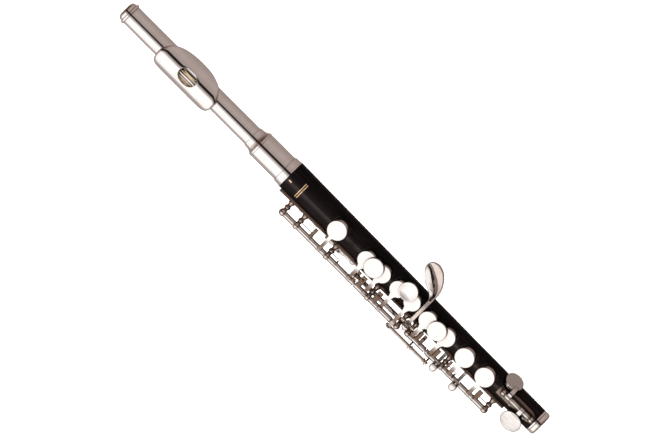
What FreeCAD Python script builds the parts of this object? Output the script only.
import FreeCAD, Part
import os, math
from FreeCAD import Vector

# Piccolo in C: silver head joint, tapered black wood body and ribbed key work, in millimetres.
# +X runs along the tube towards the foot, +Z is the tone-hole side and -Y is the player's
# side, with the hinge rods.  The origin is the bore centre in the end face of the foot ring.
# "axis" is a (y, z) pair: a line parallel to X.

os.makedirs("parts", exist_ok=True)

# ---------------------------------------------------------------- shared dimensions
CENTRE = (0, 0)
HEAD_X = -313.5         # crown end of the head tube
HEAD_END_X = -212.8     # end of the head tube, inside the receiver
HEAD_BORE_R = 5.50
HEAD_TUBE_R = 5.95
TENON_X = -211.5
SHOULDER_X = -191.7
FOOT_RING_X = -4.3      # where the wood steps down for the foot ring
CONE_TOP_R = 5.45       # cone bore, tenon end
CONE_FOOT_R = 4.00      # cone bore, foot end
FOOT_BORE_LEN = 12.0    # cylindrical part of the bore at the foot
# wooden body: x, outside radius
BODY = [(SHOULDER_X, 8.96), (-150.0, 8.40), (-83.0, 7.80), (-55.0, 7.50), (FOOT_RING_X, 7.20)]
TENON_R = 6.60
CORK_SEAT_R = 6.15
CORK_R = 7.27
RECEIVER_R = 7.30       # receiver bore
RECEIVER_OUT_R = 8.02
RECEIVER_END_X = -191.75

LH_ROD = (-16.81, 4.50)
RH_ROD = (-15.36, 4.10)
G_SHAFT = (-19.60, 5.25)        # outer shaft of the lower G key
G_SHARP_ROD = (-11.60, 3.10)
B_FLAT_ROD = (-13.90, 0.30)
TRILL_ROD = (-9.60, -7.20)
THUMB_ROD = (-12.50, -9.20)
FOOT_ROD = (0.74, 10.58)

STEEL_R = 0.80          # main rod steels
TUBE_R = 1.30           # hinge tubes on the main rods
SMALL_STEEL_R = 0.65    # G sharp and foot key steels
B_FLAT_STEEL_R = 0.60
G_SHAFT_R = 0.85
TRILL_SHAFT_R = 0.70    # inner shaft of the D sharp trill key
TRILL_TUBE_R = 1.25     # outer tube of the D trill key
RUN = 0.03              # radial running clearance
POST_FIT = 0.02         # radial clearance of a steel in its post
HAIRLINE_R = 0.0001     # bore that leaves a part practically solid

RIB_T = 1.55            # main post rib
LOW_RIB_T = 1.2         # underside ribs
OPEN_DEG = 6.0          # standing angle of the open keys
LOWER_G_DEG = OPEN_DEG * 0.864
BED_DEPTH = 1.55        # cup bed below the body crown
SEAT_DROP = 0.30        # seat ring below the body crown
PAD_GAP = 0.03          # closed pad above its seat ring

# cups on the crown: x, y, cup radius, hole radius
TOP_CUPS = {
    "c":       (-152.55, 0.9, 5.70, 1.9),
    "b":       (-130.14, 0.3, 5.20, 2.9),
    "a":       (-118.8, 0.8, 5.15, 3.0),
    "g":       (-106.92, 1.2, 4.90, 3.0),
    "lower_g": (-96.39, 1.2, 4.90, 3.0),
    "f_sharp": (-83.7, 0.5, 5.20, 3.2),
    "f":       (-70.2, 0.9, 5.40, 3.2),
    "e":       (-55.404, 0.62, 5.66, 3.3),
    "d":       (-40.338, 0.8, 5.68, 3.3),
}
# cups round the tube: x, degrees from +Z towards +Y, cup radius, hole radius
SIDE_CUPS = {
    "d_sharp_trill": (-174.15, -104.0, 2.75, 1.5),
    "d_trill":       (-162.81, -104.0, 2.75, 1.5),
    "thumb":         (-142.02, 180.0, 4.60, 2.6),
    "g_sharp":       (-89.91, -103.0, 2.60, 1.5),
    "d_sharp":       (-27.0, 60.0, 5.55, 3.1),
}

pieces = {}


def put(name, *shapes):
    for shape in shapes:
        pieces.setdefault(name, []).extend(shape.Solids)


# ---------------------------------------------------------------- body surface
def body_r(x):
    """outside radius of the wood at x"""
    if x <= BODY[0][0]:
        return BODY[0][1]
    for (xa, ra), (xb, r_b) in zip(BODY, BODY[1:]):
        if x <= xb:
            return ra + (r_b - ra) * (x - xa) / (xb - xa)
    return BODY[-1][1]


def body_profile(x0, x1):
    xs = [x0] + [x for x, r in BODY if x0 < x < x1] + [x1]
    return [(x, body_r(x)) for x in xs]


def pad_z(x):
    """height of a closed pad's lower face above the tube axis"""
    return body_r(x) - SEAT_DROP + PAD_GAP


# ---------------------------------------------------------------- solids and curves
def fuse(*shapes):
    result = shapes[0]
    if len(shapes) > 1:
        result = result.multiFuse(list(shapes[1:]))
    # face merging can fail on awkward splines; the unmerged fusion is then used
    try:
        result = result.removeSplitter()
    except Exception:
        pass
    return result


def rod(start, end, r, end_r=None):
    a = Vector(*start)
    d = Vector(*end) - a
    if end_r is None:
        return Part.makeCylinder(r, d.Length, a, d)
    return Part.makeCone(r, end_r, d.Length, a, d)


def xrod(x0, x1, axis, r):
    return Part.makeCylinder(r, x1 - x0, Vector(x0, axis[0], axis[1]), Vector(1, 0, 0))


def collar(x, half, axis, r):
    return xrod(x - half, x + half, axis, r)


def polygon_face(points):
    return Part.Face(Part.makePolygon(points + [points[0]]))


def revolve_x(pts):
    """closed (x, r) outline turned about the X axis"""
    face = polygon_face([Vector(x, 0, r) for x, r in pts])
    return face.revolve(Vector(0, 0, 0), Vector(1, 0, 0), 360)


def revolve_z(pts):
    """closed (r, z) outline turned about the Z axis"""
    face = polygon_face([Vector(r, 0, z) for r, z in pts])
    return face.revolve(Vector(0, 0, 0), Vector(0, 0, 1), 360)


def arc_pts(cx, cy, r, deg0, deg1, n):
    angles = [math.radians(deg0 + (deg1 - deg0) * i / n) for i in range(n + 1)]
    return [(cx + r * math.cos(a), cy + r * math.sin(a)) for a in angles]


def spline(pts):
    curve = Part.BSplineCurve()
    curve.interpolate([Vector(*p) for p in pts])
    return curve.toShape()


def line(a, b):
    return Part.makeLine(Vector(*a), Vector(*b))


def arc(a, b, c):
    return Part.Arc(Vector(*a), Vector(*b), Vector(*c)).toShape()


def catmull(pts, n):
    """Catmull-Rom curve through 2D points, n steps per span"""
    out = []
    for i in range(len(pts) - 1):
        p0 = pts[max(i - 1, 0)]
        p1, p2 = pts[i], pts[i + 1]
        p3 = pts[min(i + 2, len(pts) - 1)]
        for k in range(n):
            t = k / n
            out.append(tuple(0.5 * ((2 * p1[j]) + (-p0[j] + p2[j]) * t
                                    + (2 * p0[j] - 5 * p1[j] + 4 * p2[j] - p3[j]) * t * t
                                    + (-p0[j] + 3 * p1[j] - 3 * p2[j] + p3[j]) * t ** 3)
                             for j in range(2)))
    out.append(tuple(pts[-1]))
    return out


def offset_pts(pts, d):
    out = []
    for i, p in enumerate(pts):
        a = pts[max(i - 1, 0)]
        b = pts[min(i + 1, len(pts) - 1)]
        ty, tz = b[0] - a[0], b[1] - a[1]
        length = math.hypot(ty, tz)
        out.append((p[0] - tz / length * d, p[1] + ty / length * d))
    return out


def band(pts, t, x0, x1, n=3):
    """strip of thickness t following (y, z) points, spanning x0..x1"""
    curve = catmull(pts, n)
    a = [(x0, y, z) for y, z in offset_pts(curve, t / 2)]
    b = [(x0, y, z) for y, z in offset_pts(curve, -t / 2)]
    wire = Part.Wire([spline(a), line(a[-1], b[-1]), spline(b[::-1]), line(b[0], a[0])])
    return Part.Face(wire).extrude(Vector(x1 - x0, 0, 0))


def arm_band(pts, t, x, half):
    return band(pts, t, x - half, x + half)


# ---------------------------------------------------------------- placing
def moved(shape, x, y):
    copy = shape.copy()
    copy.translate(Vector(x, y, 0))
    return copy


def turn(shape, axis, deg):
    """copy turned about an axis parallel to X"""
    copy = shape.copy()
    copy.rotate(Vector(0, axis[0], axis[1]), Vector(1, 0, 0), deg)
    return copy


def radial(shape, x, deg):
    """copy of a shape built on +Z at x=0, carried to x and deg from +Z towards +Y"""
    copy = shape.copy()
    copy.rotate(Vector(0, 0, 0), Vector(1, 0, 0), -deg)
    copy.translate(Vector(x, 0, 0))
    return copy


def on_side(x, r, deg):
    """point at radius r on the player's side, deg above horizontal"""
    return (x, -math.cos(math.radians(deg)) * r, math.sin(math.radians(deg)) * r)


# ---------------------------------------------------------------- head joint
LIP_R = 9.80            # outside radius about the tube axis
LIP_IN_R = LIP_R - 0.80
LIP_X0, LIP_X1 = -289.2, -247.3
EMB_X = -268.1          # embouchure hole centre
EMB_A, EMB_B = 5.95, 4.60       # half axes of the hole, along X and Y
RISER_WALL = 0.9
LIP_TILT = math.radians(15.5)   # plan view of the lip plate, tilted from +Z towards +Y
# far edge of the lip plate: x, distance across the tilted plan
LIP_FAR_EDGE = [
    (LIP_X0, -6.0), (-289.0, -1.5), (-287.6, 3.0), (-284.6, 5.94), (-277.5, 8.35), (-268.3, 9.13),
    (-259.1, 8.35), (-252.0, 5.94), (-249.0, 3.0), (-247.5, -1.5), (LIP_X1, -6.0)]


def oval(a, b, z0, z1):
    ellipse = Part.Ellipse(Vector(EMB_X, 0, z0), a, b)
    return Part.Face(Part.Wire(ellipse.toShape())).extrude(Vector(0, 0, z1 - z0))


def embouchure_hole():
    return oval(EMB_A, EMB_B, 0.5, 14)


def head_tube():
    tube = revolve_x([(HEAD_X, HEAD_BORE_R), (HEAD_X, HEAD_TUBE_R),
                      (HEAD_END_X, HEAD_TUBE_R), (HEAD_END_X, HEAD_BORE_R)])
    return tube.cut(embouchure_hole())


def embouchure_riser():
    riser = oval(EMB_A + RISER_WALL, EMB_B + RISER_WALL, 1.0, 12).cut(embouchure_hole())
    riser = riser.common(xrod(-290, -240, CENTRE, LIP_IN_R))
    return riser.cut(xrod(-290, -240, CENTRE, HEAD_TUBE_R))


def lip_plate():
    view = Vector(0, math.sin(LIP_TILT), math.cos(LIP_TILT))
    across = Vector(0, math.cos(LIP_TILT), -math.sin(LIP_TILT))

    def tilted(x, w):
        p = Vector(x, 0, 0) + across * w - view * 30
        return (p.x, p.y, p.z)

    lip = xrod(LIP_X0, LIP_X1, CENTRE, LIP_R).cut(xrod(-291, -246, CENTRE, LIP_IN_R))
    foot_corner = [tilted(LIP_X1, -6.0), tilted(-248.42, -8.70), tilted(-251.1, -9.80)]
    crown_corner = [tilted(-285.4, -9.80), tilted(-288.08, -8.70), tilted(LIP_X0, -6.0)]
    near_foot, near_crown = tilted(-251.1, -12), tilted(-285.4, -12)
    outline = Part.Wire([
        spline([tilted(*p) for p in LIP_FAR_EDGE]), arc(*foot_corner),
        line(foot_corner[2], near_foot), line(near_foot, near_crown),
        line(near_crown, crown_corner[0]), arc(*crown_corner)])
    stamp = Part.Face(outline).extrude(view * 60)
    # only the part of the sleeve above a sloping plane is kept
    keep = polygon_face([Vector(-295, -20, -3.2), Vector(-295, 20, 2.6),
                         Vector(-295, 20, 30), Vector(-295, -20, 30)]).extrude(Vector(60, 0, 0))
    return lip.common(stamp).common(keep).cut(embouchure_hole())


def receiver_sleeve():
    return revolve_x([
        (-220.9, HEAD_TUBE_R), (-220.9, 6.34), (-220.6, 6.42), (-218.9, 6.50), (-217.6, 6.72),
        (-216.6, 7.12), (-215.8, 7.60), (-215.2, 8.06), (-214.7, 8.16), (-214.2, 8.14),
        (-214.0, 7.94), (-213.7, RECEIVER_OUT_R), (RECEIVER_END_X, RECEIVER_OUT_R),
        (RECEIVER_END_X, RECEIVER_R), (HEAD_END_X, RECEIVER_R), (HEAD_END_X, HEAD_TUBE_R)])


def receiver_end_ring():
    return revolve_x([
        (-196.3, RECEIVER_OUT_R), (-196.25, 8.42), (-195.9, 8.56), (-195.2, 8.58), (-193.0, 8.72),
        (-192.3, 8.90), (RECEIVER_END_X, 8.90), (RECEIVER_END_X, RECEIVER_OUT_R)])


def crown():
    """hollow cap with a central boss bored for the stopper screw"""
    return revolve_x([
        (-318.06, 0.55), (-318.06, 3.6), (-317.75, 4.7), (-317.2, 5.4), (-316.5, 5.75),
        (-315.3, 5.8), (-315.1, 6.45), (-314.6, 6.62), (-314.0, 6.62), (-313.55, 6.40),
        (-313.55, 5.42), (-309.6, 5.42), (-309.6, 4.9), (-316.2, 4.9), (-316.2, 2.9),
        (-309.6, 2.9), (-309.6, 1.53), (-317.2, 1.53), (-317.2, 0.55)])


STOPPER_X0, STOPPER_X1 = -282.2, -276.2
STOPPER_PLATE_T = 0.8


def stopper_cork():
    return revolve_x([
        (STOPPER_X0, 0.0), (STOPPER_X0, 5.3), (-281.8, 5.47), (-276.6, 5.47),
        (STOPPER_X1, 5.3), (STOPPER_X1, 0.0)])


def stopper_plates():
    return [xrod(STOPPER_X0 - STOPPER_PLATE_T, STOPPER_X0, CENTRE, 5.2),
            xrod(STOPPER_X1, STOPPER_X1 + STOPPER_PLATE_T, CENTRE, 5.2)]


# ---------------------------------------------------------------- wooden body
CORK_X0, CORK_X1 = -209.0, -195.0
FOOT_RING_IN_R = 5.02


def cup_bed(x, deg, cup_r, hole_r, y=0.0, ring=True):
    """cutter for the flat bed under a cup, leaving the seat ring if there is one"""
    z = body_r(x) - BED_DEPTH
    bed = Part.makeCylinder(cup_r + 0.45, 12, Vector(0, y, z))
    if ring:
        bed = bed.cut(Part.makeCylinder(hole_r + 1.15, body_r(x) - SEAT_DROP - z, Vector(0, y, z)))
    return radial(bed, x, deg)


def tone_hole(x, deg, hole_r, y=0.0):
    r = body_r(x)
    bore = Part.makeCone(hole_r - 0.25, hole_r, r - 2.0, Vector(0, y, 2.0))
    return radial(bore.fuse(Part.makeCylinder(hole_r, 4, Vector(0, y, r))), x, deg)


def body_tube(fasteners):
    body = revolve_x(
        [(TENON_X, CONE_TOP_R), (TENON_X, TENON_R - 0.5), (TENON_X + 0.8, TENON_R),
         (CORK_X0, TENON_R), (CORK_X0, CORK_SEAT_R), (CORK_X1, CORK_SEAT_R), (CORK_X1, TENON_R),
         (SHOULDER_X, TENON_R)] + BODY
        + [(FOOT_RING_X, 5.0), (0.0, 5.0), (0.0, CONE_FOOT_R), (-FOOT_BORE_LEN, CONE_FOOT_R)])
    cutters = []
    for x, y, cup_r, hole_r in TOP_CUPS.values():
        cutters += [cup_bed(x, 0.0, cup_r, hole_r, y), tone_hole(x, 0.0, hole_r, y)]
    for x, deg, cup_r, hole_r in SIDE_CUPS.values():
        cutters += [cup_bed(x, deg, cup_r, hole_r), tone_hole(x, deg, hole_r)]
    for cutter in cutters + fasteners:
        body = body.cut(cutter)
    return body


def tenon_cork():
    return revolve_x([
        (CORK_X0, CORK_SEAT_R), (CORK_X0, 6.9), (CORK_X0 + 0.8, CORK_R), (CORK_X1 - 0.8, CORK_R),
        (CORK_X1, 6.9), (CORK_X1, CORK_SEAT_R)])


def foot_ring():
    return revolve_x([
        (FOOT_RING_X, FOOT_RING_IN_R), (FOOT_RING_X, 7.20), (-3.5, 7.28), (-3.2, 7.05),
        (-2.9, 7.28), (-1.9, 7.26), (-1.3, 7.20), (-0.75, 7.0), (-0.3, 6.62), (-0.05, 6.15),
        (0.0, 5.9), (0.0, FOOT_RING_IN_R)])


# ---------------------------------------------------------------- ribs and their screws
# rib screws: x, elevation in degrees above horizontal
RIB_SCREWS = [(-187.92, 20), (-153.9, 9), (-123.66, 9), (-102.06, 9), (-73.44, 9), (-46.44, 9),
              (-23.76, 20)]


def body_shell(x0, x1, t):
    """skin of thickness t lying on the wood"""
    profile = body_profile(x0, x1)
    return revolve_x(profile + [(x, r + t) for x, r in profile[::-1]])


def rib_strip(x0, x1, t, deg0, deg1):
    """part of the skin on the player's side, between two elevations above horizontal"""
    fan = [on_side(x0 - 1, 30, deg0 + (deg1 - deg0) * i / 4) for i in range(5)]
    wedge = polygon_face([Vector(*p) for p in [(x0 - 1, 0, 0)] + fan])
    return body_shell(x0, x1, t).common(wedge.extrude(Vector(x1 - x0 + 2, 0, 0)))


def off_wood(shape):
    """what remains of a shape outside the wood"""
    x0 = -193.86
    return shape.cut(revolve_x([(x0, 0)] + body_profile(x0, FOOT_RING_X) + [(FOOT_RING_X, 0)]))


def rib_screw(x, deg):
    """countersunk screw before slotting, and the cutter for its slot"""
    r = body_r(x)
    top = r + RIB_T
    shank = rod(on_side(x, r - 2.4, deg), on_side(x, r + 0.7, deg), 0.6)
    head = rod(on_side(x, r + 0.7, deg), on_side(x, top - 0.1, deg), 0.62, 1.1)
    _, y, z = on_side(x, top, deg)
    slot = Part.makeBox(2.6, 3.0, 0.25, Vector(x - 1.3, y - 1.5, z - 0.125))
    slot = slot.common(rod(on_side(x, top - 0.35, deg), on_side(x, top + 2, deg), 1.2))
    return fuse(shank, head), slot


def post_rib(screws, hardware):
    rib = rib_strip(-190.08, -21.6, RIB_T, 3, 37)
    for cutter in screws + hardware:
        rib = rib.cut(cutter)
    for name in ("d_sharp_trill", "d_trill", "g_sharp"):
        rib = rib.cut(cup_bed(*SIDE_CUPS[name], ring=False))
    return max(rib.Solids, key=lambda solid: solid.Volume)


def underside_ribs(posts):
    ribs = [rib_strip(-182.52, -125.28, LOW_RIB_T, -52, -33),
            rib_strip(-85.32, -44.28, LOW_RIB_T, -46, -26)]
    for cutter in posts:
        ribs = [rib.cut(cutter) for rib in ribs]
    return ribs


# ---------------------------------------------------------------- posts and needle springs
SPRING_R = 0.20
SPRING_TIP_DEPTH = 3.05         # spring tip, from the rod line towards the tube axis
# main posts: x, ball radius, bead radius, holds the G sharp rod,
#             spring (tip x, root depth from the rod line)
LH_POSTS = [
    (-180.36, 2.2, 1.7, False, None),
    (-170.1, 1.95, 1.5, False, (-160.65, 3.3)),
    (-146.88, 1.95, 1.7, False, (-139.86, 3.3)),
    (-115.56, 1.95, 1.5, False, (-110.16, 3.3)),
    (-93.42, 1.95, None, True, None),
]
RH_POSTS = [
    (-86.4, 2.1, None, True, (-77.22, 2.6)),
    (-61.02, 1.95, 1.5, False, (-51.84, 3.3)),
    (-28.08, 1.95, 1.6, False, (-37.53, 3.3)),
]


def post(x, axis, root_deg, bore_r, ball_r, neck_r, base_r, bead_r=None, rib_t=RIB_T):
    """turned post from a rib, at elevation root_deg, to a flat-sided ball on the rod line"""
    root = Vector(*on_side(x, body_r(x) + rib_t - 0.4, root_deg))
    tip = Vector(x, axis[0], axis[1])
    length = (tip - root).Length
    u = (tip - root) * (1 / length)
    parts = [Part.makeCylinder(base_r, 1.0, root, u),
             Part.makeCone(base_r * 0.86, neck_r, min(2.0, length * 0.4), root + u * 0.9, u),
             Part.makeCylinder(neck_r, length, root, u),
             Part.makeSphere(ball_r, tip).common(collar(x, 1.15, axis, ball_r + 1))]
    if bead_r:
        parts.append(Part.makeSphere(bead_r, root + u * (length * 0.50)))
    return fuse(*parts).cut(collar(x, 4, axis, bore_r))


def towards_tube(axis, d):
    length = math.hypot(*axis)
    return (axis[0] * (1 - d / length), axis[1] * (1 - d / length))


def needle_spring(post_x, axis, tip_x, root_depth):
    """spring rooted 0.5 mm behind the post centre"""
    behind = -0.5 if tip_x > post_x else 0.5
    return rod((post_x + behind, *towards_tube(axis, root_depth)),
               (tip_x, *towards_tube(axis, SPRING_TIP_DEPTH)), SPRING_R)


def main_posts(axis, table):
    """posts and springs of one rod"""
    posts, springs = [], []
    for x, ball_r, bead_r, holds_g_sharp, spring in table:
        p = post(x, axis, 15, STEEL_R + POST_FIT, ball_r, neck_r=1.1, base_r=1.75, bead_r=bead_r)
        if holds_g_sharp:
            p = p.fuse(collar(x, 1.25, G_SHARP_ROD, 1.75))
            p = p.cut(collar(x, 3.24, G_SHARP_ROD, SMALL_STEEL_R + POST_FIT))
        if spring:
            needle = needle_spring(x, axis, *spring)
            p = p.cut(needle)
            springs.append(needle)
        posts.append(p)
    return posts, springs


def b_flat_posts():
    bore_r = B_FLAT_STEEL_R + POST_FIT
    return [post(-129.816, B_FLAT_ROD, 6, bore_r, ball_r=1.6, neck_r=0.95, base_r=1.3),
            post(-83.808, B_FLAT_ROD, 5, bore_r, ball_r=1.5, neck_r=0.85, base_r=1.2)]


def trill_pivot_post(x, pin_x):
    """end post with a fixed pin that enters the shaft end"""
    p = post(x, TRILL_ROD, -37, HAIRLINE_R, 1.5, 0.9, 1.3, rib_t=LOW_RIB_T)
    return fuse(p, xrod(min(x, pin_x), max(x, pin_x), TRILL_ROD, 0.42))


def trill_posts():
    return [trill_pivot_post(-178.524, -175.932),
            trill_pivot_post(-45.252, -47.898),
            post(-167.13, TRILL_ROD, -38, TRILL_SHAFT_R + RUN, 1.6, 0.9, 1.3, rib_t=LOW_RIB_T),
            post(-82.08, TRILL_ROD, -38, TRILL_TUBE_R + RUN, 2.0, 1.0, 1.4, rib_t=LOW_RIB_T)]


def thumb_post(x):
    """thumb-rod post that the trill tube also passes through"""
    p = post(x, THUMB_ROD, -36.4, STEEL_R + POST_FIT, 1.7, 1.0, 1.4, rib_t=LOW_RIB_T)
    p = fuse(p, collar(x, 1.0, TRILL_ROD, 1.9))
    p = p.cut(collar(x, 3, TRILL_ROD, TRILL_TUBE_R + RUN))
    return p.cut(collar(x, 3, THUMB_ROD, STEEL_R + POST_FIT))


def g_shaft_bracket(x):
    """eye plate from the rib out to the lower G shaft, clear of the right-hand rod"""
    r = body_r(x) + RIB_T
    eye = collar(x, 0.5, G_SHAFT, 1.75)
    strap = arm_band([(-r * 0.985, r * 0.10), (-r - 2.0, -1.6), (-15.4, -0.6), (-18.2, 1.6),
                      (-19.5, 3.9), (-19.6, 5.0)], 1.5, x, 0.5)
    plate = fuse(eye, strap).cut(collar(x, 3, G_SHAFT, G_SHAFT_R + RUN))
    return plate.cut(collar(x, 3, RH_ROD, TUBE_R + 0.6))


# ---------------------------------------------------------------- cups, pads and touches
def cup(r, z0, top, plate=0.0, pad_h=1.9):
    """cup shell about Z over a pad at z0; plate is the thickness of a flange on top"""
    pad_r = r - 0.45
    rim = z0 + 0.75
    pad_top = z0 + pad_h
    edge = 0.35
    pts = [(0, top)] + arc_pts(r - edge, top - edge, edge, 90, 0, 4)
    if plate:
        under = top - plate
        waist_r = r - 0.45
        pts += [(r, under + 0.15), (r - 0.15, under), (waist_r - 0.35, under - 0.1),
                (waist_r - 0.35, pad_top + 0.95), (waist_r - 0.1, pad_top + 0.7),
                (r - 0.08, pad_top + 0.35), (r - 0.08, rim)]
    else:
        pts += [(r, rim)]
    return revolve_z(pts + [(pad_r, rim), (pad_r, pad_top), (0, pad_top)])


def pad(cup_r, z0, pad_h=1.9):
    r = cup_r - 0.45
    top = z0 + pad_h
    return revolve_z([(0, z0), (r - 0.35, z0), (r - 0.1, z0 + 0.12), (r - 0.02, z0 + 0.4),
                      (r - 0.02, top), (0, top)])


def side_cup(name, total, pad_h):
    """cup and pad of a key round the tube"""
    x, deg, cup_r, _ = SIDE_CUPS[name]
    z0 = pad_z(x)
    return (radial(cup(cup_r, z0, z0 + total, pad_h=pad_h), x, deg),
            radial(pad(cup_r, z0, pad_h), x, deg))


def side_room(name, wall, height):
    """cutter that keeps an arm out of a cup's pad chamber"""
    x, deg, cup_r, _ = SIDE_CUPS[name]
    return radial(Part.makeCylinder(cup_r - wall, pad_z(x) + height, Vector(0, 0, 0)), x, deg)


def arm_plan(cx, cy, disc_r, half, fillet, y_end):
    """upright prism: cup disc running through fillets into an arm towards -Y"""
    yc = -math.sqrt((disc_r + fillet) ** 2 - (half + fillet) ** 2)
    k = disc_r / (disc_r + fillet)
    tx, ty = (half + fillet) * k, yc * k
    start = math.atan2(ty - yc, tx - (half + fillet))
    end = math.pi if start > 0 else -math.pi
    mid = (start + end) / 2
    mx, my = half + fillet + fillet * math.cos(mid), yc + fillet * math.sin(mid)

    def at(x, y):
        return (cx + x, cy + y, 0)

    end_right, end_left = (cx + half, y_end, 0), (cx - half, y_end, 0)
    face = Part.Face(Part.Wire([
        arc(at(-tx, ty), at(0, disc_r), at(tx, ty)),
        arc(at(tx, ty), at(mx, my), at(half, yc)),
        line(at(half, yc), end_right), line(end_right, end_left), line(end_left, at(-half, yc)),
        arc(at(-half, yc), at(-mx, my), at(-tx, ty))]))
    face.translate(Vector(0, 0, -30))
    return face.extrude(Vector(0, 0, 60))


def touch_disc(r, z):
    """finger disc with a shallow dish, top edge at z"""
    t = 1.15
    pts = [(0, z - 0.28), (r * 0.35, z - 0.24), (r * 0.65, z - 0.12), (r * 0.88, z - 0.01)]
    pts += arc_pts(r - 0.3, z - 0.3, 0.3, 85, 0, 4)
    return revolve_z(pts + [(r, z - t + 0.2), (r - 0.25, z - t), (0, z - t)])


def lug(x, axis):
    """collar with a tapered finger towards the tube axis, where the spring bears"""
    reach = 2.6
    a = math.atan2(-axis[1], -axis[0])
    y, z = axis
    tip = (x, y + math.cos(a) * reach, z + math.sin(a) * reach)
    return fuse(collar(x, 0.5, axis, TUBE_R + 0.42), rod((x, y, z), tip, 0.62, 0.45))


# ---------------------------------------------------------------- stack keys
ARM_T = 1.15


def stack_key(name, axis, tube, total, fillet, half=1.10, plate=0.0, touch=None, lug_x=None,
              arm_pts=None, bore_r=STEEL_R + RUN, tube_r=TUBE_R, collar_half=1.3, collar_dr=0.5):
    """one key built closed, with its pad
    tube: x range of the hinge tube; total: pad face to cup top; half: arm half width
    touch: disc x, disc y, disc radius, rise above the cup, stem x, stem y, stem radius"""
    x, y, cup_r, _ = TOP_CUPS[name]
    z0 = pad_z(x)
    top = z0 + total
    mid = top - ARM_T / 2
    if arm_pts is None:
        ay, az = axis
        arm_pts = [(y + 2.0, mid - 0.03), (y - 4.0, mid - 0.03), (-7.2, mid - 0.07),
                   (-10.2, mid - 0.45), (-12.8, mid - 1.5), (ay + 2.0, (top + az) / 2 + 1.3),
                   (ay + 0.7, az + 1.3), (ay + 0.3, az + 0.2)]
    strip = arm_band(arm_pts, ARM_T, x, cup_r + 1)
    arm = strip.common(arm_plan(x, y, cup_r - 0.47, half, fillet, -30))
    arm = arm.cut(moved(revolve_z([(0, z0 - 3), (cup_r - 0.3, z0 - 3), (cup_r - 0.3, z0 + 1.96),
                                   (0, z0 + 1.96)]), x, y))
    x0, x1 = tube
    parts = [moved(cup(cup_r, z0, top, plate), x, y), arm,
             collar(x, collar_half, axis, tube_r + collar_dr), xrod(x0, x1, axis, tube_r)]
    for ring_x in (x0, x1 - 0.5):
        parts.append(xrod(ring_x, ring_x + 0.5, axis, tube_r + 0.22))
    if touch:
        disc_x, disc_y, disc_r, rise, stem_x, stem_y, stem_r = touch
        disc_z, stem_z = top + rise, top - 0.3
        parts += [moved(touch_disc(disc_r, disc_z), disc_x, disc_y),
                  Part.makeCylinder(stem_r, disc_z - 0.6 - stem_z,
                                    Vector(stem_x, stem_y, stem_z))]
    if lug_x is not None:
        parts.append(lug(lug_x, axis))
    key = fuse(*parts).cut(xrod(x0 - 2, x1 + 2, axis, bore_r))
    return key, moved(pad(cup_r, z0), x, y)


# keys on the two main rods: key, rod, tube x range, total height, fillet, other sizes
STACK_KEYS = [
    ("c", LH_ROD, (-168.804, -148.284), 4.35, 1.5, dict(half=1.05, plate=1.0, lug_x=-159.84)),
    ("b", LH_ROD, (-145.476, -125.928), 3.05, 4.9, dict(lug_x=-140.4)),
    ("a", LH_ROD, (-125.496, -116.856), 3.05, 4.9,
     dict(touch=(-124.308, 0.55, 5.70, 1.55, -120.312, 0.6, 1.35))),
    ("g", LH_ROD, (-114.156, -94.824), 3.05, 4.9,
     dict(touch=(-102.006, 5.0, 5.50, 1.60, -105.516, 3.6, 1.25), lug_x=-110.97)),
    ("f_sharp", RH_ROD, (-84.996, -73.332), 3.05, 4.9, dict(lug_x=-77.76)),
    ("f", RH_ROD, (-72.9, -62.316), 3.05, 4.9,
     dict(touch=(-76.14, 0.4, 5.55, 1.70, -72.144, 0.8, 1.25))),
    ("e", RH_ROD, (-59.724, -48.168), 4.25, 2.6, dict(half=1.15, plate=1.0, lug_x=-52.704)),
    ("d", RH_ROD, (-47.736, -29.376), 4.25, 2.6, dict(half=1.15, plate=1.0, lug_x=-36.72)),
]


def lower_g_key():
    """key whose arm arches over the left-hand rod line to the outer shaft"""
    total = 2.85
    x, y, _, _ = TOP_CUPS["lower_g"]
    top = pad_z(x) + total
    arm_pts = [(y + 2.0, top - 0.58), (y - 4.0, top - 0.58), (-8.0, top - 0.60),
               (-12.0, top - 0.95), (-15.4, top - 1.75), (-18.2, top - 3.0),
               (-19.7, G_SHAFT[1] + 0.9), (-19.8, G_SHAFT[1])]
    key, key_pad = stack_key("lower_g", G_SHAFT, (-97.632, -95.472), total, 4.9,
                             arm_pts=arm_pts, bore_r=HAIRLINE_R, tube_r=1.15,
                             collar_half=1.0, collar_dr=0.28)
    return key.cut(xrod(-102.06, -91.26, G_SHAFT, G_SHAFT_R)), key_pad


def lower_g_shaft():
    return fuse(xrod(-98.55, -67.23, G_SHAFT, G_SHAFT_R), xrod(-79.974, -78.84, G_SHAFT, 1.25),
                xrod(-70.632, -69.552, G_SHAFT, 1.25))


# ---------------------------------------------------------------- G sharp key
# plan of the spoon touch over the far side of the tube: x, y
SPOON_CROWN_EDGE = [
    (-90.936, 7.2903), (-92.34, 9.1838), (-95.04, 10.9150), (-96.66, 11.5641),
    (-99.36, 12.9707), (-102.06, 15.1347), (-104.436, 17.7314), (-105.3, 20.3281)]
SPOON_FOOT_EDGE = [
    (-104.976, 21.9511), (-103.68, 23.7905), (-100.98, 24.5479), (-98.28, 24.1151),
    (-95.04, 22.4921), (-92.34, 19.4626), (-90.504, 16.6494), (-89.532, 13.5117),
    (-89.208, 10.2658), (-89.316, 7.2903)]
# section of the spoon: y, z
SPOON_SECTION = [
    (5.6, 9.72), (7.5, 8.95), (10.0, 8.15), (12.5, 7.65), (15.0, 7.35), (17.5, 7.2),
    (20.0, 7.25), (22.5, 7.4), (25.5, 7.7)]


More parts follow.
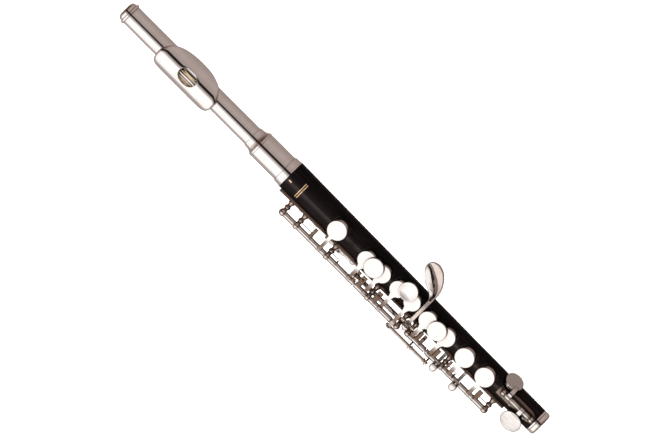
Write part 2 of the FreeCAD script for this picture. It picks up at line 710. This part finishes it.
def spoon_touch():
    crown_edge = [(x, y, 0) for x, y in SPOON_CROWN_EDGE]
    foot_edge = [(x, y, 0) for x, y in SPOON_FOOT_EDGE]
    a, b = crown_edge[-1], foot_edge[0]
    tip = ((a[0] + b[0]) / 2 - 0.15, (a[1] + b[1]) / 2 + 0.1, 0)
    outline = Part.Wire([spline(crown_edge), spline([a, tip, b]), spline(foot_edge),
                         line(foot_edge[-1], crown_edge[0])])
    plan = Part.Face(outline).extrude(Vector(0, 0, 30))
    return band(SPOON_SECTION, 1.15, -110.16, -85.86).common(plan)


def g_sharp_key():
    """closed-standing key: cup on the player's side, touch across the top of the tube"""
    key_cup, key_pad = side_cup("g_sharp", 2.3, 1.4)
    arm = arm_band([G_SHARP_ROD, (-11.25, 1.5), (-10.75, -0.2), (-10.2, -1.6), (-9.6, -2.7)],
                   1.0, SIDE_CUPS["g_sharp"][0], 0.9)
    arm = arm.cut(side_room("g_sharp", 0.4, 1.43))
    neck = arm_band([(G_SHARP_ROD[0] + 0.1, G_SHARP_ROD[1]), (-10.4, 5.2), (-9.2, 7.6),
                     (-6.6, 9.7), (-1.0, 10.45), (3.0, 10.25), (6.2, 9.45), (7.5, 8.95),
                     (9.2, 8.38)], 1.3, -90.072, 1.04)
    key = fuse(key_cup, arm, neck, spoon_touch(), xrod(-91.584, -88.128, G_SHARP_ROD, 1.15),
               collar(-90.126, 1.2, G_SHARP_ROD, 1.5))
    return key.cut(xrod(-99.36, -83.16, G_SHARP_ROD, SMALL_STEEL_R + RUN)), key_pad


# ---------------------------------------------------------------- B flat side lever
def b_flat_side_lever():
    y, z = B_FLAT_ROD
    button_x, button_y = -89.856, -12.9845
    fin_x = -127.332
    tube = xrod(-128.25, -85.32, B_FLAT_ROD, 1.10)
    button = moved(revolve_z([(0, 8.45), (1.1, 8.38), (1.65, 8.1), (1.9, 7.6), (1.8, 7.0),
                              (1.4, 6.75), (0, 6.75)]), button_x, button_y)
    arm = arm_band([(y, z), (y - 1.3, 1.9), (-15.3, 4.1), (-15.0, 6.0), (-13.9, 7.15),
                    (button_y, 7.4)], 1.0, button_x, 0.8)
    fin = arm_band([(y, z), (-13.4, 2.4), (-13.2, 5.0), (-13.5, 7.2)], 0.9, fin_x, 0.8)
    lever = fuse(tube, button, arm, fin, collar(fin_x, 1.1, B_FLAT_ROD, 1.45),
                 collar(button_x, 1.1, B_FLAT_ROD, 1.4))
    return lever.cut(xrod(-131.76, -82.08, B_FLAT_ROD, B_FLAT_STEEL_R + RUN))


# ---------------------------------------------------------------- concentric trill keys
D_TRILL_TOUCH_X = -63.72
D_SHARP_TRILL_TOUCH_X = -48.87


def teardrop(x, w):
    """teardrop touch of width w, narrow end towards the tube"""
    y0, y1, top, t = -20.2, -13.9, 7.7, 1.1
    ym = y0 + w / 2
    y_side = ym + (y1 - ym) * 0.55
    face = Part.Face(Part.Wire([
        arc((x - w / 2, ym, 0), (x, y0, 0), (x + w / 2, ym, 0)),
        arc((x + w / 2, ym, 0), (x + w * 0.42, y_side, 0), (x + 0.7, y1, 0)),
        line((x + 0.7, y1, 0), (x - 0.7, y1, 0)),
        arc((x - 0.7, y1, 0), (x - w * 0.42, y_side, 0), (x - w / 2, ym, 0))]))
    face.translate(Vector(0, 0, top - t))
    return face.extrude(Vector(0, 0, t))


def trill_key(name, touch_x, touch_w, tubes):
    """unbored trill key on the given shaft and tube solids, and its pad"""
    x, deg, _, _ = SIDE_CUPS[name]
    y, z = TRILL_ROD
    key_cup, key_pad = side_cup(name, 2.3, 1.4)
    r = pad_z(x) + 2.0
    cup_y, cup_z = r * math.sin(math.radians(deg)), r * math.cos(math.radians(deg))
    arm = arm_band([(y, z), (y - 1.1, z + 1.4), (cup_y - 0.25, cup_z - 1.4),
                    (cup_y, cup_z + 0.3)], 0.9, x, 0.9)
    arm = arm.cut(side_room(name, 0.4, 1.4))
    touch_arm = band([(y, z), (-12.6, -7.6), (-16.4, -5.4), (-18.5, -1.2), (-18.7, 3.0),
                      (-18.2, 5.6), (-17.2, 6.9), (-16.2, 7.15)],
                     1.0, touch_x - 0.95, touch_x + 0.95, n=4)
    key = fuse(key_cup, arm, touch_arm, teardrop(touch_x, touch_w), *tubes,
               collar(touch_x, 1.1, TRILL_ROD, 1.6), collar(x, 1.1, TRILL_ROD, 1.6))
    return key, key_pad


def d_trill_key():
    tube = xrod(-164.7, -62.1, TRILL_ROD, TRILL_TUBE_R)
    key, key_pad = trill_key("d_trill", D_TRILL_TOUCH_X, 4.0, [tube])
    return key.cut(xrod(-169.56, -58.86, TRILL_ROD, TRILL_SHAFT_R + RUN + 0.02)), key_pad


def d_sharp_trill_key():
    """key on the inner shaft, its ends bored for the pivot pins"""
    x0, x1 = -176.796, -46.98
    tubes = [xrod(x0, x1, TRILL_ROD, TRILL_SHAFT_R), xrod(x0, -171.72, TRILL_ROD, TRILL_TUBE_R),
             xrod(-50.22, x1, TRILL_ROD, TRILL_TUBE_R)]
    key, key_pad = trill_key("d_sharp_trill", D_SHARP_TRILL_TOUCH_X, 4.2, tubes)
    key = key.cut(xrod(-178.2, -175.716, TRILL_ROD, 0.47))
    return key.cut(xrod(-48.114, -45.36, TRILL_ROD, 0.47)), key_pad


# ---------------------------------------------------------------- thumb keys underneath
THUMB_X = SIDE_CUPS["thumb"][0]
THUMB_CUP_H = 2.6
THUMB_PAD_H = 1.6
THUMB_Z = -(pad_z(THUMB_X) + THUMB_CUP_H)       # lowest face of the closed thumb cup
THUMB_DEG = -OPEN_DEG
B_FLAT_TUBE_END_X = -144.72


def paddle(x0, x1, z):
    """rounded plate, lower face at z"""
    y0, y1, t = -5.6, 3.6, 1.1
    box = Part.makeBox(x1 - x0, y1 - y0, t, Vector(x0, y0, z))
    upright = [e for e in box.Edges if abs(e.Vertexes[0].Z - e.Vertexes[1].Z) > t * 0.9]
    return box.makeFillet(2.4, upright)


def thumb_b_key():
    y, z = THUMB_ROD
    _, _, cup_r, _ = SIDE_CUPS["thumb"]
    paddle_x = -134.73
    room_h = pad_z(THUMB_X) + THUMB_PAD_H
    key_cup, key_pad = side_cup("thumb", THUMB_CUP_H, THUMB_PAD_H)
    cup_arm = arm_band([(y, z), (y + 1.2, z - 1.9), (-8.6, THUMB_Z - 0.1), (-4.0, THUMB_Z + 0.35),
                        (0.0, THUMB_Z + 0.5), (1.5, THUMB_Z + 0.5)], 1.1, THUMB_X, 1.2)
    cup_arm = cup_arm.cut(Part.makeCylinder(cup_r - 0.4, room_h, Vector(THUMB_X, 0, -room_h)))
    paddle_arm = arm_band([(y, z), (y + 1.0, z - 2.2), (-8.8, THUMB_Z - 0.9),
                           (-3.0, THUMB_Z - 0.9), (1.0, THUMB_Z - 0.85)], 1.0, paddle_x, 1.1)
    key = fuse(key_cup, cup_arm, paddle(-137.7, -131.76, THUMB_Z - 1.4), paddle_arm,
               xrod(-144.288, -133.056, THUMB_ROD, TUBE_R),
               collar(THUMB_X, 1.3, THUMB_ROD, TUBE_R + 0.4),
               collar(paddle_x, 1.2, THUMB_ROD, TUBE_R + 0.4))
    return key.cut(xrod(-153.36, -126.36, THUMB_ROD, STEEL_R + RUN)), key_pad


def thumb_b_flat_lever():
    """lever beside the thumb key, with a fin that reaches under its cup arm"""
    y, z = THUMB_ROD
    paddle_x = -150.336
    arm = arm_band([(y, z), (y + 1.0, z - 2.0), (-8.8, THUMB_Z - 0.7), (-3.0, THUMB_Z - 0.7),
                    (1.0, THUMB_Z - 0.65)], 1.0, paddle_x, 1.1)
    fin = band([(y, z), (y - 1.7, z - 0.9), (-14.9, -12.2), (-12.0, -14.3),
                (-8.6, THUMB_Z - 1.75)], 0.9, -146.492, -143.1)
    lever = fuse(paddle(-153.036, -147.636, THUMB_Z - 1.2), arm, fin,
                 xrod(-152.064, B_FLAT_TUBE_END_X, THUMB_ROD, TUBE_R),
                 collar(paddle_x, 1.2, THUMB_ROD, TUBE_R + 0.4))
    lever = lever.cut(xrod(-156.06, -126.36, THUMB_ROD, STEEL_R + RUN))
    # the fin is cleared away round the thumb key's tube
    return lever.cut(xrod(B_FLAT_TUBE_END_X, -141.48, THUMB_ROD, 2.2))


# ---------------------------------------------------------------- foot key
SADDLE_X0, SADDLE_X1 = -30.456, -4.428
# plan of the saddle plate: x, y
SADDLE_PLAN = [(SADDLE_X0, -2.9), (-8.64, -2.9), (-5.67, -1.6), (SADDLE_X1, 0.7), (-5.67, 2.9),
               (-8.64, 4.0), (-18.9, 4.0), (SADDLE_X0, 2.6)]
SADDLE_POSTS_X = (-27.216, -6.372)
SADDLE_SCREWS_X = (-20.25, -9.99)


def saddle_post(x):
    y, z = FOOT_ROD
    root = Vector(x, y * 0.8, body_r(x) + 0.3)
    p = fuse(Part.makeCone(1.4, 0.9, 1.4, root), Part.makeCylinder(0.85, z - root.z, root),
             Part.makeSphere(1.35, Vector(x, y, z)))
    return p.cut(collar(x, 3, FOOT_ROD, SMALL_STEEL_R + POST_FIT))


def saddle_screw(x):
    y, r = -1.9, body_r(x)
    return fuse(Part.makeCylinder(0.55, 2.6, Vector(x, y, r - 2.3)),
                Part.makeCylinder(0.95, 0.3, Vector(x, y, r + 0.32)),
                Part.makeCylinder(0.55, 1.0, Vector(x, y, r - 0.5)))


def foot_key_saddle(screws):
    """plate on the body crown with two posts for the foot key"""
    plan = polygon_face([Vector(x, y, 0) for x, y in SADDLE_PLAN]).extrude(Vector(0, 0, 20))
    plate = body_shell(SADDLE_X0, SADDLE_X1, 0.95).common(plan)
    plate = plate.cut(cup_bed(*SIDE_CUPS["d_sharp"]))
    x0, x1 = -34.56, FOOT_RING_X
    saddle = fuse(plate, *[saddle_post(x) for x in SADDLE_POSTS_X])
    saddle = saddle.cut(revolve_x([(x0, 0), (x1, 0), (x1, body_r(x1)), (x0, body_r(x0))]))
    for screw in screws:
        saddle = saddle.cut(screw)
    return max(saddle.Solids, key=lambda solid: solid.Volume)


def d_sharp_key():
    arm_x, neck_x = -23.76, -13.5
    key_cup, key_pad = side_cup("d_sharp", 2.45, 1.45)
    arm = arm_band([FOOT_ROD, (2.8, 11.1), (4.5, 10.35), (5.9, 8.75), (6.85, 7.1)],
                   1.1, arm_x, 1.2)
    arm = arm.cut(side_room("d_sharp", 0.2, 1.5))
    # the touch is a curved strip trimmed to an oval with a neck
    strip = band([(0.5, 11.2), (-1.4, 10.9), (-2.9, 9.7), (-4.4, 8.85), (-6.4, 8.25),
                  (-9.2, 7.55), (-12.0, 7.05), (-15.5, 6.7)], 1.15, -23.76, -2.16)
    ellipse = Part.Ellipse(Vector(-13.662, -8.35, -5), 6.35, 5.25)
    oval_plan = Part.Face(Part.Wire(ellipse.toShape())).extrude(Vector(0, 0, 30))
    neck_plan = Part.makeBox(2.4, 9.0, 30, Vector(neck_x - 1.2, -8.3, -5))
    touch = strip.common(fuse(oval_plan, neck_plan))
    key = fuse(key_cup, arm, touch, xrod(-25.596, -7.992, FOOT_ROD, 1.15),
               collar(arm_x, 1.3, FOOT_ROD, 1.5), collar(neck_x, 1.3, FOOT_ROD, 1.5))
    return key.cut(xrod(-34.56, -2.16, FOOT_ROD, SMALL_STEEL_R + RUN)), key_pad


# ---------------------------------------------------------------- steels and spacer
def upper_spacer_tube():
    x0, x1, ring_w = -178.794, -171.558, 0.54
    tube = fuse(xrod(x0, x1, LH_ROD, TUBE_R), xrod(x0, x0 + ring_w, LH_ROD, TUBE_R + 0.25),
                xrod(x1 - ring_w, x1, LH_ROD, TUBE_R + 0.25))
    return tube.cut(xrod(-180.36, -169.56, LH_ROD, STEEL_R + RUN))


def small_pivot_steels():
    return [xrod(-155.034, -130.086, THUMB_ROD, STEEL_R),
            xrod(-94.5, -85.32, G_SHARP_ROD, SMALL_STEEL_R),
            xrod(-131.112, -82.512, B_FLAT_ROD, B_FLAT_STEEL_R),
            xrod(-28.296, -5.292, FOOT_ROD, SMALL_STEEL_R)]


# ---------------------------------------------------------------- assembly
def put_key(name, key_and_pad, axis=CENTRE, deg=None, pad_name=None):
    """store a key and its pad, both turned about the axis if an angle is given"""
    for piece, shape in zip((name, pad_name or name + "_pad"), key_and_pad):
        put(piece, shape if deg is None else turn(shape, axis, deg))


put("head_tube", head_tube())
put("embouchure_riser", embouchure_riser())
put("lip_plate", lip_plate())
put("receiver_sleeve", receiver_sleeve())
put("receiver_end_ring", receiver_end_ring())
put("crown", crown())
put("stopper_screw", xrod(-316.2, STOPPER_X0 - STOPPER_PLATE_T, CENTRE, 1.5))
put("stopper_cork", stopper_cork())
put("stopper_plates", *stopper_plates())
put("tenon_cork", tenon_cork())
put("foot_ring", foot_ring())

for key_name, key_axis, tube_range, height, arm_fillet, sizes in STACK_KEYS:
    built = stack_key(key_name, key_axis, tube_range, height, arm_fillet, **sizes)
    put_key(key_name + "_key", built, key_axis, OPEN_DEG)
put_key("lower_g_key", lower_g_key(), G_SHAFT, LOWER_G_DEG)
put("lower_g_shaft", turn(lower_g_shaft(), G_SHAFT, LOWER_G_DEG))
put_key("g_sharp_key", g_sharp_key())
put("b_flat_side_lever", b_flat_side_lever())
put_key("d_trill_key", d_trill_key(), pad_name="d_trill_pad")
put_key("d_sharp_trill_key", d_sharp_trill_key(), pad_name="d_sharp_trill_pad")
put_key("thumb_b_key", thumb_b_key(), THUMB_ROD, THUMB_DEG)
put("thumb_b_flat_lever", turn(thumb_b_flat_lever(), THUMB_ROD, THUMB_DEG))
put_key("d_sharp_key", d_sharp_key())

put("left_hand_rod_steel", xrod(-181.656, -92.124, LH_ROD, STEEL_R))
put("right_hand_rod_steel", xrod(-87.696, -26.892, RH_ROD, STEEL_R))
put("upper_spacer_tube", upper_spacer_tube())
put("small_pivot_steels", *small_pivot_steels())

slotted = [rib_screw(*place) for place in RIB_SCREWS]
rib_screws = [screw for screw, slot in slotted]
saddle_screws = [saddle_screw(x) for x in SADDLE_SCREWS_X]
put("rib_screws", *[screw.cut(slot) for screw, slot in slotted], *saddle_screws)
put("foot_key_saddle", foot_key_saddle(saddle_screws))

lh_posts, lh_springs = main_posts(LH_ROD, LH_POSTS)
rh_posts, rh_springs = main_posts(RH_ROD, RH_POSTS)
lever_posts = b_flat_posts()
brackets = [g_shaft_bracket(x) for x in (-81.0, -68.58)]
put("needle_springs", *lh_springs, *rh_springs)
put("post_rib", post_rib(rib_screws, lh_posts + rh_posts + lever_posts + brackets))
put("left_hand_posts", *[off_wood(p) for p in lh_posts])
put("right_hand_posts", *[off_wood(p) for p in rh_posts])
put("side_lever_posts", *[off_wood(p) for p in lever_posts])
put("lower_g_shaft_brackets", *[off_wood(p) for p in brackets])

low_trill_posts = [off_wood(p) for p in trill_posts()]
low_thumb_posts = [off_wood(thumb_post(x)) for x in (-153.684, -131.436)]
put("underside_ribs", *underside_ribs(low_trill_posts + low_thumb_posts))
put("trill_posts", *low_trill_posts)
put("thumb_key_posts", *low_thumb_posts)
put("body_tube", body_tube(rib_screws + saddle_screws))

for name, solids in pieces.items():
    shape = solids[0] if len(solids) == 1 else Part.makeCompound(solids)
    shape.exportStep(os.path.join("parts", name + ".step"))
